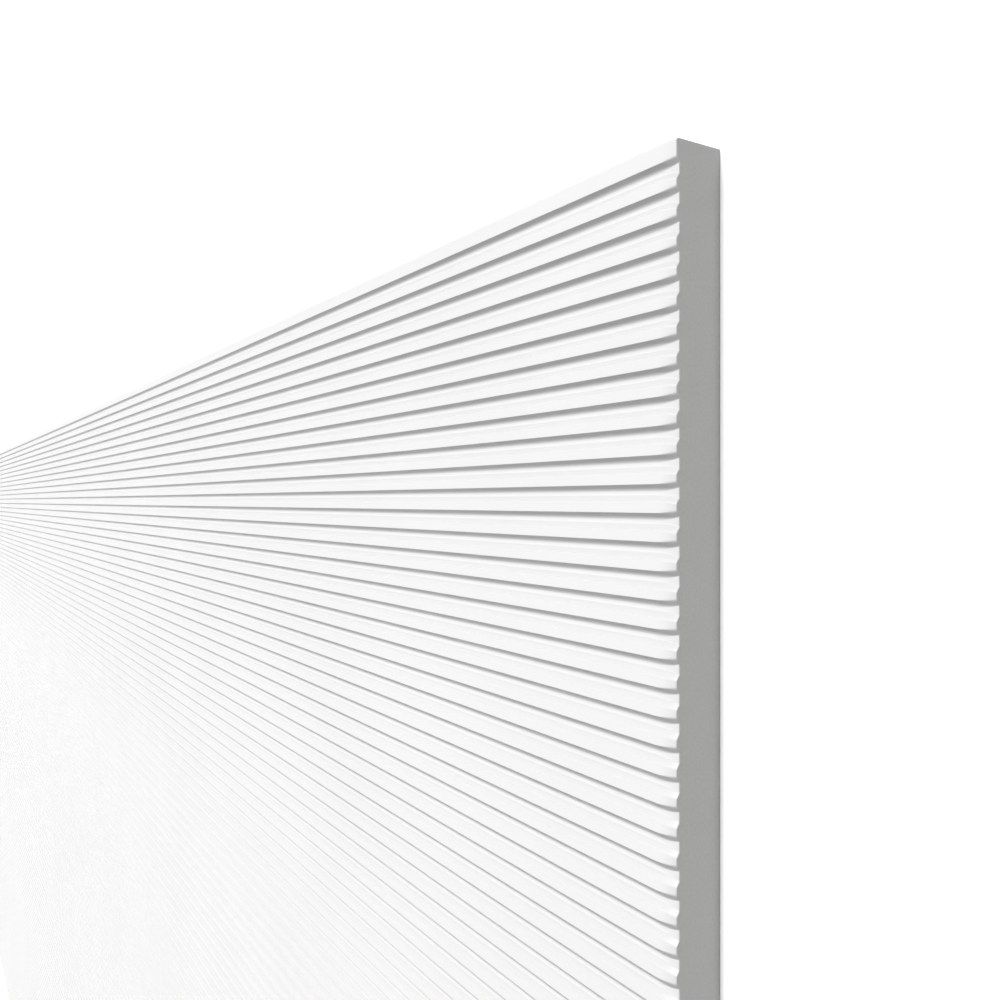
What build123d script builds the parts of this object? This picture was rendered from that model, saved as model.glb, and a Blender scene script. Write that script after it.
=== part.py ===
"""A fluted porcelain tile: one pressed, glazed and fired piece, lying on its back with the face up."""

import math
import os

from build123d import *

# Overall size in millimetres: X runs along the flutes, Y across them, Z up from the back.
tile_length = 1200.0
tile_width = 600.0
tile_thickness = 10.5

# Flutes in the face: flat-topped ribs with sloping walls and a level floor between them.
flute_pitch = 4.8
crest_width = 1.95
flute_depth = 0.9
wall_angle = 45.0
least_edge_land = 2.5

# At the short ends the face rolls down, its crests more than its flute floors. The long edges have an arris.
end_run = 4.6
end_drop = 0.6
end_floor_drop = 0.3
arris_radius = 0.4

# Keying pockets in the back, between flat ribs that carry the tile.
pocket_pitch = 60.0
back_rib_width = 10.0
pocket_depth = 0.5
pocket_draft = 30.0

# Section of a flute, and how many of them the width takes with a flat land at both long edges.
mouth_width = flute_pitch - crest_width
floor_width = mouth_width - 2 * flute_depth / math.tan(math.radians(wall_angle))
floor_height = tile_thickness - flute_depth
flute_count = int((tile_width - 2 * least_edge_land + crest_width) // flute_pitch)

# Roll at the short ends: arcs that leave the crests and the flute floors tangentially and drop over end_run.
roll_start = tile_length / 2 - end_run
end_height = tile_thickness - end_drop
floor_roll_radius = (end_run**2 + end_floor_drop**2) / (2 * end_floor_drop)
floor_roll_angle = math.degrees(math.asin(end_run / floor_roll_radius))
floor_roll_axis = Axis((roll_start, 0, floor_height - floor_roll_radius), (0, 1, 0))

# A flute's tool stands above the crests, and turns this many times its roll's angle to run out past the end.
tool_rise = 1.0
tool_overrun = 1.5
tool_top = tile_thickness + tool_rise

# The pockets fill the back evenly, with at least half a rib at its edges.
pocket_side = pocket_pitch - back_rib_width
pocket_columns = int(tile_length // pocket_pitch)
pocket_rows = int(tile_width // pocket_pitch)

# One flute as the tool that presses it: straight along the face, then down the roll at both ends.
with BuildPart() as flute:
    with BuildSketch(Plane.YZ.offset(roll_start)) as flute_section:
        with BuildLine():
            Polyline(
                (0, floor_height),
                (floor_width / 2, floor_height),
                (mouth_width / 2, tile_thickness),
                (mouth_width / 2, tool_top),
                (0, tool_top),
            )
            mirror(about=Plane.YZ)
        make_face()
    extrude(amount=-roll_start)
    revolve(flute_section.sketch, axis=floor_roll_axis, revolution_arc=floor_roll_angle * tool_overrun)
    mirror(about=Plane.YZ)

with BuildPart() as tile:
    # Blank: the side view with its rolled ends, as wide as the tile.
    with BuildSketch(Plane.XZ):
        with BuildLine():
            Polyline(
                (-tile_length / 2, end_height),
                (-tile_length / 2, 0),
                (tile_length / 2, 0),
                (tile_length / 2, end_height),
            )
            TangentArc((roll_start, tile_thickness), (tile_length / 2, end_height), tangent=(1, 0))
            Line((roll_start, tile_thickness), (-roll_start, tile_thickness))
            TangentArc((-roll_start, tile_thickness), (-tile_length / 2, end_height), tangent=(-1, 0))
        make_face()
    extrude(amount=tile_width / 2, both=True)

    # Arris along the long edges of the face.
    long_edges = tile.faces().filter_by(Axis.Y).edges()
    fillet(long_edges.filter_by(lambda edge: edge.center().Z > end_height), arris_radius)

    # Keying pockets pressed into the back.
    with BuildSketch():
        with GridLocations(pocket_pitch, pocket_pitch, pocket_columns, pocket_rows):
            Rectangle(pocket_side, pocket_side)
    extrude(amount=pocket_depth, taper=pocket_draft, mode=Mode.SUBTRACT)

    # Flutes across the whole face, with an equal flat land left at both long edges.
    with GridLocations(0, flute_pitch, 1, flute_count):
        add(flute.part, mode=Mode.SUBTRACT)

tile.part.label = "tile"

os.makedirs("parts", exist_ok=True)
export_step(tile.part, "parts/tile.step")
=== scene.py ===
"""A fluted porcelain tile lying face up: its glazed face, bare edges and keyed back, on a pale floor."""

import math

import bpy
import numpy as np
from mathutils import Matrix, Vector


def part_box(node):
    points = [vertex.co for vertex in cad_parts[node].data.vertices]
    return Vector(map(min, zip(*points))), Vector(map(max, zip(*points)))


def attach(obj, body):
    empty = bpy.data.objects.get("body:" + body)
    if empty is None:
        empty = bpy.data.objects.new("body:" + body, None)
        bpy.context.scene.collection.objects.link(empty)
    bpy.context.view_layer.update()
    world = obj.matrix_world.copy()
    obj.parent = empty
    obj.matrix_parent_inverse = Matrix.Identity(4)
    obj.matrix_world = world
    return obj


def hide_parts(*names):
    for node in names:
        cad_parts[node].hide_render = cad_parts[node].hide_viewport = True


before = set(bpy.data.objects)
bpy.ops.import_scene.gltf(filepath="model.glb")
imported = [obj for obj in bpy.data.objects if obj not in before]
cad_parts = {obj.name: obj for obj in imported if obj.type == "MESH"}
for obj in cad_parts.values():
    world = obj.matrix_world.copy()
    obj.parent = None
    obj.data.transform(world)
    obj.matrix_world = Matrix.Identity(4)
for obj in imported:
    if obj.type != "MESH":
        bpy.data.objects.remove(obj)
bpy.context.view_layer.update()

MM = 0.001
QUARTER_TURN = math.pi / 2
X, Y, Z = 0, 1, 2

# The tile's overall size, from the frame, in metres.
LOW, HIGH = (np.array(corner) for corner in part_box("tile"))
LENGTH, WIDTH, THICKNESS = HIGH - LOW

# Flutes: flat crests, sloping walls and level floors, as in the frame.
PITCH = 4.8 * MM
CREST = 1.95 * MM
DEPTH = 0.9 * MM
WALL_ANGLE = math.radians(45)
LEAST_EDGE_LAND = 2.5 * MM
MOUTH = PITCH - CREST
FLUTE_FLOOR = MOUTH - 2 * DEPTH / math.tan(WALL_ANGLE)
FLUTES = int((WIDTH - 2 * LEAST_EDGE_LAND + CREST) // PITCH)

# Rounding that pressing and glaze give to the section's corners, and the steps that draw each of them.
CREST_ROUND = 0.15 * MM
FLOOR_ROUND = 1.1 * MM
ARRIS = 0.4 * MM
FLUTE_STEPS = 4
ARRIS_STEPS = 5

# The roll of the face down to the short ends, as in the frame: the floors drop less than the crests.
END_RUN = 4.6 * MM
END_DROP = 0.6 * MM
END_FLOOR_DROP = 0.3 * MM
ROLL_RADIUS = (END_RUN**2 + END_DROP**2) / (2 * END_DROP)
ROLL_STEPS = 10

# Down the roll the crests get rounder and the ribs taper, and a small round meets the end.
END_CREST_ROUND = 0.9 * MM
END_FLOOR_ROUND = 0.4 * MM
END_CREST_TAPER = 0.32 * MM
END_FOOT_TAPER = 0.37 * MM
END_ROUND = 0.2 * MM
END_STEPS = 4

# Keying pockets in the back, and the slack for rounding when they are counted.
POCKET_PITCH = 60 * MM
BACK_RIB = 10 * MM
POCKET_DEPTH = 0.5 * MM
POCKET_DRAFT = math.radians(30)
COUNT_SLACK = 1e-6


def section_corners(run):
    """The face's corners at this run along the roll: y, z from the crests, turn, radius and steps."""
    share = run / END_RUN
    ease = (1 - math.cos(math.pi * min(share, 1))) / 2
    crest_round = CREST_ROUND + (END_CREST_ROUND - CREST_ROUND) * ease
    floor_round = FLOOR_ROUND + (END_FLOOR_ROUND - FLOOR_ROUND) * ease
    depth = DEPTH - (END_DROP - END_FLOOR_DROP) * share**2
    mouth = MOUTH + 2 * END_CREST_TAPER * share**2
    floor = FLUTE_FLOOR + 2 * END_FOOT_TAPER * share**4
    wall = math.atan2(2 * depth, mouth - floor)
    corners = [(-WIDTH / 2, 0, -QUARTER_TURN, ARRIS, ARRIS_STEPS)]
    for flute in range(FLUTES):
        middle = (flute - (FLUTES - 1) / 2) * PITCH
        corners += [
            (middle - mouth / 2, 0, -wall, crest_round, FLUTE_STEPS),
            (middle - floor / 2, -depth, wall, floor_round, FLUTE_STEPS),
            (middle + floor / 2, -depth, wall, floor_round, FLUTE_STEPS),
            (middle + mouth / 2, 0, -wall, crest_round, FLUTE_STEPS),
        ]
    corners.append((WIDTH / 2, 0, -QUARTER_TURN, ARRIS, ARRIS_STEPS))
    return corners


def section(run):
    """Points (y, z) across the face at this run along the roll, corners rounded, and their normals."""
    points, normals = [], []
    heading = QUARTER_TURN
    for y, z, turn, radius, steps in section_corners(run):
        back = radius * math.tan(abs(turn) / 2)
        side = math.copysign(radius, turn)
        centre_y = y - back * math.cos(heading) - side * math.sin(heading)
        centre_z = z - back * math.sin(heading) + side * math.cos(heading)
        for step in range(steps + 1):
            angle = heading + turn * step / steps
            normal = (-math.sin(angle), math.cos(angle))
            points.append((centre_y - side * normal[0], centre_z - side * normal[1]))
            normals.append(normal)
        heading += turn
    return np.array(points), np.array(normals)


def end_path():
    """Stations down the roll and round the end's edge: run from the roll's start, drop and tilt."""
    meets_end = math.asin(END_RUN / ROLL_RADIUS)
    roll_end = meets_end - END_ROUND * math.tan((QUARTER_TURN - meets_end) / 2) / ROLL_RADIUS
    stations = []
    for step in range(ROLL_STEPS + 1):
        tilt = roll_end * step / ROLL_STEPS
        stations.append((ROLL_RADIUS * math.sin(tilt), ROLL_RADIUS * (1 - math.cos(tilt)), tilt))
    run, drop, tilt = stations[-1]
    for step in range(1, END_STEPS + 1):
        turn = tilt + (QUARTER_TURN - tilt) * step / END_STEPS
        further = END_ROUND * (math.sin(turn) - math.sin(tilt))
        lower = END_ROUND * (math.cos(tilt) - math.cos(turn))
        stations.append((run + further, drop + lower, turn))
    stations[-1] = (END_RUN, *stations[-1][1:])
    return stations


def face_grid():
    """Places and normals of the glazed face: a row for each point across it, a column for each station."""
    nudge = 0.001 * MM
    columns, column_normals = [], []
    for run, drop, tilt in end_path():
        points, flat_normals = section(run)
        drift = (section(run + nudge)[0] - points) / nudge
        x = np.full(len(points), LENGTH / 2 - END_RUN + run)
        columns.append(np.column_stack([x, points[:, 0], THICKNESS - drop + points[:, 1]]))
        level, steep = math.cos(tilt), math.sin(tilt)
        along = np.column_stack([
            np.full(len(points), level),
            drift[:, 0] * level,
            drift[:, 1] * level - steep,
        ])
        across = np.column_stack([np.zeros(len(points)), flat_normals[:, 1], -flat_normals[:, 0]])
        normals = np.cross(along, across)
        column_normals.append(normals / np.linalg.norm(normals, axis=1, keepdims=True))
    plus_end = np.stack(columns, axis=1)
    normals = np.stack(column_normals, axis=1)
    mirror = np.array([-1.0, 1.0, 1.0])
    places = np.concatenate([(plus_end * mirror)[:, ::-1], plus_end], axis=1)
    return places, np.concatenate([(normals * mirror)[:, ::-1], normals], axis=1)


def pocket_lines(extent):
    """Lines of the back across one extent: its two edges, and between them both sides of each pocket."""
    count = int(extent / POCKET_PITCH + COUNT_SLACK)
    middles = (np.arange(count) - (count - 1) / 2) * POCKET_PITCH
    half = (POCKET_PITCH - BACK_RIB) / 2
    sides = np.stack([middles - half, middles + half], axis=1).ravel()
    return np.concatenate([[-extent / 2], sides, [extent / 2]])


# The map that the finishes are baked on for export. All flutes share one wide band of it, so that the shade
# painted on their narrow walls stays sharp, and both rolls get a good part of its length. The other faces
# have boxes (left, bottom, right, top).
MAP_NAME = "OFBake"
FLUTE_BAND = (0.54, 0.99)
LAND_BAND = (0.46, 0.52)
ROLL_MARKS = (0.01, 0.16, 0.84, 0.99)
BACK_BOX = (0.01, 0.12, 0.99, 0.44)
PLUS_Y_BOX = (0.01, 0.085, 0.99, 0.1)
MINUS_Y_BOX = (0.01, 0.055, 0.99, 0.07)
PLUS_X_BOX = (0.01, 0.02, 0.49, 0.04)
MINUS_X_BOX = (0.51, 0.02, 0.99, 0.04)

# Gaps between the section's points, over an edge's arris and land and over one flute with its four corners.
LAND_GAPS = ARRIS_STEPS + 1
FLUTE_GAPS = 4 * (FLUTE_STEPS + 1)


def lay_out(steps, band):
    """Marks along a band of the map, spaced as these steps are."""
    path = np.concatenate([[0], np.cumsum(steps)]) / np.sum(steps)
    return band[0] + (band[1] - band[0]) * path


def gap_bands(places):
    """For each gap between two rows of the face, the two marks that bound it on the map."""
    across = places[:, places.shape[1] // 2, Y:]
    steps = np.linalg.norm(np.diff(across, axis=0), axis=1)
    land = lay_out(steps[:LAND_GAPS], LAND_BAND)
    flute = lay_out(steps[LAND_GAPS:LAND_GAPS + FLUTE_GAPS], FLUTE_BAND)
    first = list(zip(land, land[1:]))
    last = [(high, low) for low, high in reversed(first)]
    return first + (list(zip(flute, flute[1:])) * FLUTES)[:-1] + last


def column_marks(places):
    """For each column of the face, its mark along the map."""
    x, _, z = places[ARRIS_STEPS].T
    path = np.concatenate([[0], np.cumsum(np.hypot(np.diff(x), np.diff(z)))])
    roll, whole = path[len(path) // 2 - 1], path[-1]
    return np.interp(path, [0, roll, whole - roll, whole], ROLL_MARKS)


# The finishes' places in the tile's list of materials, and the angle from which an edge is sharp.
GLAZE, BODY = 0, 1
SHARP_ANGLE = math.radians(30)


class TileMesh:
    """Gathers the tile's vertices, faces and finishes, and the normals and map places of its corners."""

    def __init__(self):
        self.places = []
        self.faces = []
        self.finishes = []
        self.corner_normals = []
        self.corner_spots = []

    def add_places(self, places):
        """Adds vertices, and gives their indices in the array's own shape."""
        first = len(self.places)
        self.places.extend(map(tuple, places.reshape(-1, 3)))
        return first + np.arange(places.size // 3).reshape(places.shape[:-1])

    def add_face(self, corners, finish, normals, spots):
        """Adds a face with a normal and a place on the map for each of its corners."""
        self.faces.append([int(corner) for corner in corners])
        self.finishes.append(finish)
        self.corner_normals.extend(normals)
        self.corner_spots.extend(spots)

    def add_flat(self, corners, normal, axes, box):
        """Adds a flat bare face, drawn on the map's box by two of its axes."""
        places = np.array([self.places[corner] for corner in corners])
        spots = [
            np.interp(places[:, axis], [LOW[axis], HIGH[axis]], edges)
            for axis, edges in zip(axes, (box[0::2], box[1::2]))
        ]
        self.add_face(corners, BODY, [normal] * len(corners), zip(*spots))


def add_glazed_face(mesh):
    """Adds the fluted face, and gives the indices of its vertices."""
    places, normals = face_grid()
    top = mesh.add_places(places)
    marks = column_marks(places)
    for row, (low, high) in enumerate(gap_bands(places)):
        for column, (left, right) in enumerate(zip(marks, marks[1:])):
            ring = [(row, column), (row, column + 1), (row + 1, column + 1), (row + 1, column)]
            spots = [(left, low), (right, low), (right, high), (left, high)]
            mesh.add_face([top[spot] for spot in ring], GLAZE, [normals[spot] for spot in ring], spots)
    return top


def add_pocket(mesh, mouth, x_sides, y_sides):
    """Adds a keying pocket: its floor, inset by the draft, and its four sloping walls."""
    inset = POCKET_DEPTH * math.tan(POCKET_DRAFT)
    x0, x1 = x_sides[0] + inset, x_sides[1] - inset
    y0, y1 = y_sides[0] + inset, y_sides[1] - inset
    ring = np.array([(x0, y0), (x0, y1), (x1, y1), (x1, y0)])
    floor = mesh.add_places(np.column_stack([ring, np.full(4, POCKET_DEPTH)]))
    mesh.add_flat(floor, (0, 0, -1), (X, Y), BACK_BOX)
    slope = Vector((math.cos(POCKET_DRAFT), 0, -math.sin(POCKET_DRAFT)))
    for side in range(4):
        after = (side + 1) % 4
        normal = Matrix.Rotation(-side * QUARTER_TURN, 3, "Z") @ slope
        wall = [mouth[side], mouth[after], floor[after], floor[side]]
        mesh.add_flat(wall, tuple(normal), (X, Y), BACK_BOX)


def tile_mesh():
    """The whole tile as one closed mesh."""
    mesh = TileMesh()
    top = add_glazed_face(mesh)
    x_lines, y_lines = pocket_lines(LENGTH), pocket_lines(WIDTH)
    grid = np.stack(np.meshgrid(x_lines, y_lines, [0.0], indexing="ij"), axis=-1)[:, :, 0]
    back = mesh.add_places(grid)

    mesh.add_flat([*top[:, -1], *back[-1, ::-1]][::-1], (1, 0, 0), (Y, Z), PLUS_X_BOX)
    mesh.add_flat([*top[:, 0], *back[0, ::-1]], (-1, 0, 0), (Y, Z), MINUS_X_BOX)
    mesh.add_flat([*top[-1], *back[::-1, -1]], (0, 1, 0), (X, Z), PLUS_Y_BOX)
    mesh.add_flat([*top[0], *back[::-1, 0]][::-1], (0, -1, 0), (X, Z), MINUS_Y_BOX)

    # Every second cell of the back, both ways, is a pocket, and the cells between them are flat ribs.
    for i in range(len(x_lines) - 1):
        for j in range(len(y_lines) - 1):
            mouth = [back[i, j], back[i, j + 1], back[i + 1, j + 1], back[i + 1, j]]
            if i % 2 and j % 2:
                add_pocket(mesh, mouth, x_lines[i:i + 2], y_lines[j:j + 2])
            else:
                mesh.add_flat(mouth, (0, 0, -1), (X, Y), BACK_BOX)
    return mesh


def tile_object():
    """The tile as a Blender object with its two finishes, exact normals and map."""
    made = tile_mesh()
    mesh = bpy.data.meshes.new("fluted_tile")
    mesh.from_pydata(made.places, [], made.faces)
    mesh.polygons.foreach_set("material_index", made.finishes)
    mesh.polygons.foreach_set("use_smooth", [True] * len(made.faces))
    mesh.set_sharp_from_angle(angle=SHARP_ANGLE)
    mesh.normals_split_custom_set([tuple(normal) for normal in made.corner_normals])
    bake_map = mesh.uv_layers.new(name=MAP_NAME, do_init=False)
    bake_map.uv.foreach_set("vector", np.array(made.corner_spots, np.float32).ravel())
    mesh.materials.append(glaze())
    mesh.materials.append(body())
    tile = bpy.data.objects.new("fluted_tile", mesh)
    bpy.context.collection.objects.link(tile)
    return tile


# A noise's detail, and the middle of its range, where most of its values lie.
NOISE_DETAIL = 2.0
NOISE_MIDDLE = (0.3, 0.7)


def new_material(name):
    """A new Principled material, its node tree and its shader."""
    material = bpy.data.materials.new(name)
    material.use_nodes = True
    tree = material.node_tree
    return material, tree, tree.nodes["Principled BSDF"]


def noise(tree, size, detail=NOISE_DETAIL):
    """A noise over the object whose features are about this size in metres."""
    place = tree.nodes.new("ShaderNodeTexCoord")
    texture = tree.nodes.new("ShaderNodeTexNoise")
    texture.inputs["Scale"].default_value = 1 / size
    texture.inputs["Detail"].default_value = detail
    tree.links.new(place.outputs["Object"], texture.inputs["Vector"])
    return texture.outputs["Fac"]


def ramp(tree, value, start, stop, low, high):
    """A value that goes from low to high as the given one goes from start to stop, held beyond them."""
    stretch = tree.nodes.new("ShaderNodeMapRange")
    ends = {"From Min": start, "From Max": stop, "To Min": low, "To Max": high}
    for socket, end in ends.items():
        stretch.inputs[socket].default_value = end
    tree.links.new(value, stretch.inputs["Value"])
    return stretch.outputs["Result"]


def spread(tree, value, low, high):
    """A noise's middle range stretched to run from low to high."""
    return ramp(tree, value, *NOISE_MIDDLE, low, high)


def up_share(tree, vectors):
    """The Z of a texture coordinate: a point's height, or how far its normal points up."""
    split = tree.nodes.new("ShaderNodeSeparateXYZ")
    tree.links.new(vectors, split.inputs["Vector"])
    return split.outputs["Z"]


def scale_colour(tree, colour, factor):
    """The colour times a factor."""
    product = tree.nodes.new("ShaderNodeVectorMath")
    product.operation = "SCALE"
    tree.links.new(colour, product.inputs[0])
    tree.links.new(factor, product.inputs["Scale"])
    return product.outputs["Vector"]


def blend_colours(tree, value, first, second):
    """A colour that goes from first to second with a noise."""
    mix = tree.nodes.new("ShaderNodeMix")
    mix.data_type = "RGBA"
    mix.inputs["A"].default_value = (*first, 1)
    mix.inputs["B"].default_value = (*second, 1)
    tree.links.new(spread(tree, value, 0, 1), mix.inputs["Factor"])
    return mix.outputs["Result"]


def add_bump(tree, shader, value, height):
    """Relief of this height in metres from a noise."""
    bump = tree.nodes.new("ShaderNodeBump")
    bump.inputs["Strength"].default_value = 1.0
    bump.inputs["Distance"].default_value = height
    tree.links.new(value, bump.inputs["Height"])
    tree.links.new(bump.outputs["Normal"], shader.inputs["Normal"])


# Glaze: soft clouds of tone, patches of more and less gloss, and a fine ripple.
GLAZE_TONES = (0.88, 0.88, 0.876), (0.9, 0.9, 0.897)
GLAZE_CLOUD = 60 * MM
GLAZE_ROUGHNESS = 0.36, 0.46
GLAZE_PATCH = 9 * MM
GLAZE_RIPPLE = 2.5 * MM
RIPPLE_HEIGHT = 0.004 * MM

# Painted shade in the flutes, as factors on the crests' tone: darker towards the flutes' floors, and darker
# on their walls the steeper they slope, from the flat slope up to the full-shade slope.
PAINTED_FLOOR_SHADE = 0.91
PAINTED_WALL_SHADE = 0.79
FLAT_SLOPE = math.radians(4)
FULL_SHADE_SLOPE = math.radians(24)


def glaze():
    """White satin glaze with the ripple of a fired surface, and painted shade in the flutes: darker towards
    their floors and on their sloping walls.
    """
    material, tree, shader = new_material("white_satin_glaze")
    place = tree.nodes.new("ShaderNodeTexCoord")
    height = up_share(tree, place.outputs["Object"])
    # Painted shade: darker towards the floors of the flutes.
    floor_shade = ramp(tree, height, THICKNESS - DEPTH, THICKNESS, PAINTED_FLOOR_SHADE, 1.0)
    level = up_share(tree, place.outputs["Normal"])
    # Painted shade: darker on the flutes' walls, the steeper they slope.
    wall_shade = ramp(tree, level, math.cos(FULL_SHADE_SLOPE), math.cos(FLAT_SLOPE), PAINTED_WALL_SHADE, 1.0)
    tone = blend_colours(tree, noise(tree, GLAZE_CLOUD), *GLAZE_TONES)
    tone = scale_colour(tree, tone, floor_shade)
    tone = scale_colour(tree, tone, wall_shade)
    tree.links.new(tone, shader.inputs["Base Color"])
    roughness = spread(tree, noise(tree, GLAZE_PATCH), *GLAZE_ROUGHNESS)
    tree.links.new(roughness, shader.inputs["Roughness"])
    add_bump(tree, shader, noise(tree, GLAZE_RIPPLE), RIPPLE_HEIGHT)
    return material


# Body: fine specks that are also its grain, and patches of more and less sheen.
BODY_TONES = (0.6, 0.6, 0.593), (0.645, 0.645, 0.637)
BODY_SPECK = 0.5 * MM
SPECK_DETAIL = 4.0
BODY_ROUGHNESS = 0.62, 0.78
BODY_PATCH = 4 * MM
GRAIN_HEIGHT = 0.01 * MM


def body():
    """Bare pale grey porcelain, finely speckled, dry to the touch."""
    material, tree, shader = new_material("bare_porcelain")
    speck = noise(tree, BODY_SPECK, SPECK_DETAIL)
    tree.links.new(blend_colours(tree, speck, *BODY_TONES), shader.inputs["Base Color"])
    roughness = spread(tree, noise(tree, BODY_PATCH), *BODY_ROUGHNESS)
    tree.links.new(roughness, shader.inputs["Roughness"])
    add_bump(tree, shader, speck, GRAIN_HEIGHT)
    return material


def seen(tree):
    """1 for rays from the camera, reflections and refractions, 0 for rays that gather light."""
    path = tree.nodes.new("ShaderNodeLightPath")
    value = path.outputs["Is Camera Ray"]
    for ray in ("Is Glossy Ray", "Is Transmission Ray"):
        either = tree.nodes.new("ShaderNodeMath")
        either.operation = "MAXIMUM"
        tree.links.new(value, either.inputs[0])
        tree.links.new(path.outputs[ray], either.inputs[1])
        value = either.outputs["Value"]
    return value


def strength(tree, unseen, when_seen):
    """A strength that differs for rays that gather light and for rays that show the surroundings."""
    return ramp(tree, seen(tree), 0, 1, unseen, when_seen)


# The studio's floor: half its side in metres, its plain values, and its glow where it is seen.
WHITE = (1, 1, 1, 1)
FLOOR_HALF = 20.0
FLOOR_LOOK = {
    "Base Color": (0.95, 0.95, 0.95, 1),
    "Roughness": 0.9,
    "Specular IOR Level": 0.0,
    "Emission Color": WHITE,
}
FLOOR_GLOW = 0.12


def add_floor():
    """A wide pale floor under the tile, lifted to white where it is seen."""
    mesh = bpy.data.meshes.new("floor")
    signs = ((-1, -1), (1, -1), (1, 1), (-1, 1))
    mesh.from_pydata([(x * FLOOR_HALF, y * FLOOR_HALF, 0) for x, y in signs], [], [(0, 1, 2, 3)])
    material, tree, shader = new_material("pale_floor")
    for socket, value in FLOOR_LOOK.items():
        shader.inputs[socket].default_value = value
    tree.links.new(strength(tree, 0.0, FLOOR_GLOW), shader.inputs["Emission Strength"])
    mesh.materials.append(material)
    floor = bpy.data.objects.new("floor", mesh)
    bpy.context.collection.objects.link(floor)


# Light: a high key from the +Y side, which leaves the walls that face away from it dim, and an even fill.
KEY_ELEVATION = math.radians(55.5)
KEY_TURN = math.radians(3)
KEY_SPREAD = math.radians(16)
KEY_ON_FACE = 1.0
FILL = 0.03


def add_key():
    """The key, turned a little towards -X, strong enough to give the face this share of full light."""
    lamp = bpy.data.lights.new("key", "SUN")
    lamp.energy = KEY_ON_FACE * math.pi / math.sin(KEY_ELEVATION)
    lamp.angle = KEY_SPREAD
    key = bpy.data.objects.new("key", lamp)
    level = math.cos(KEY_ELEVATION)
    towards = Vector((-math.sin(KEY_TURN) * level, math.cos(KEY_TURN) * level, math.sin(KEY_ELEVATION)))
    key.rotation_euler = towards.to_track_quat("Z", "Y").to_euler()
    bpy.context.collection.objects.link(key)


def add_fill():
    """An even fill from all round, against a white background."""
    world = bpy.data.worlds.new("studio")
    bpy.context.scene.world = world
    world.use_nodes = True
    tree = world.node_tree
    background = tree.nodes["Background"]
    background.inputs["Color"].default_value = WHITE
    tree.links.new(strength(tree, FILL, 1.0), background.inputs["Strength"])


# Camera: it looks along the flutes and down on the face, rolled so that +Y is up in the picture. Its lens is
# in the picture's pixels, and its place, from the tile's near corner, in pitches of the flutes.
IMAGE_SIDE = 1000
FOCAL_PIXELS = 941.5
HORIZON_DOWN = 1.2 / IMAGE_SIDE
SENSOR = 36.0
CLIP_NEAR = 0.01
CLIP_FAR = 100
AXIS_TO_FACE = math.radians(32.8)
BEYOND_END = 23.493 * PITCH
BELOW_EDGE = 12.293 * PITCH
ABOVE_CREST = 22.236 * PITCH


def add_camera():
    """The photograph's viewpoint, close to one corner of the tile."""
    lens = bpy.data.cameras.new("camera")
    lens.sensor_width = SENSOR
    lens.lens = SENSOR * FOCAL_PIXELS / IMAGE_SIDE
    lens.shift_y = HORIZON_DOWN
    lens.clip_start = CLIP_NEAR
    lens.clip_end = CLIP_FAR
    camera = bpy.data.objects.new("camera", lens)
    bpy.context.collection.objects.link(camera)
    back = Vector((math.cos(AXIS_TO_FACE), 0, math.sin(AXIS_TO_FACE)))
    up = Vector((0, 1, 0))
    place = Matrix((up.cross(back), up, back)).transposed().to_4x4()
    place.translation = (
        LENGTH / 2 + BEYOND_END,
        WIDTH / 2 - BELOW_EDGE,
        THICKNESS - END_DROP + ABOVE_CREST,
    )
    camera.matrix_world = place
    bpy.context.scene.camera = camera


tile = tile_object()
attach(tile, "root")
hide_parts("tile")
add_floor()
add_key()
add_fill()
add_camera()
bpy.context.scene.view_settings.view_transform = "Standard"
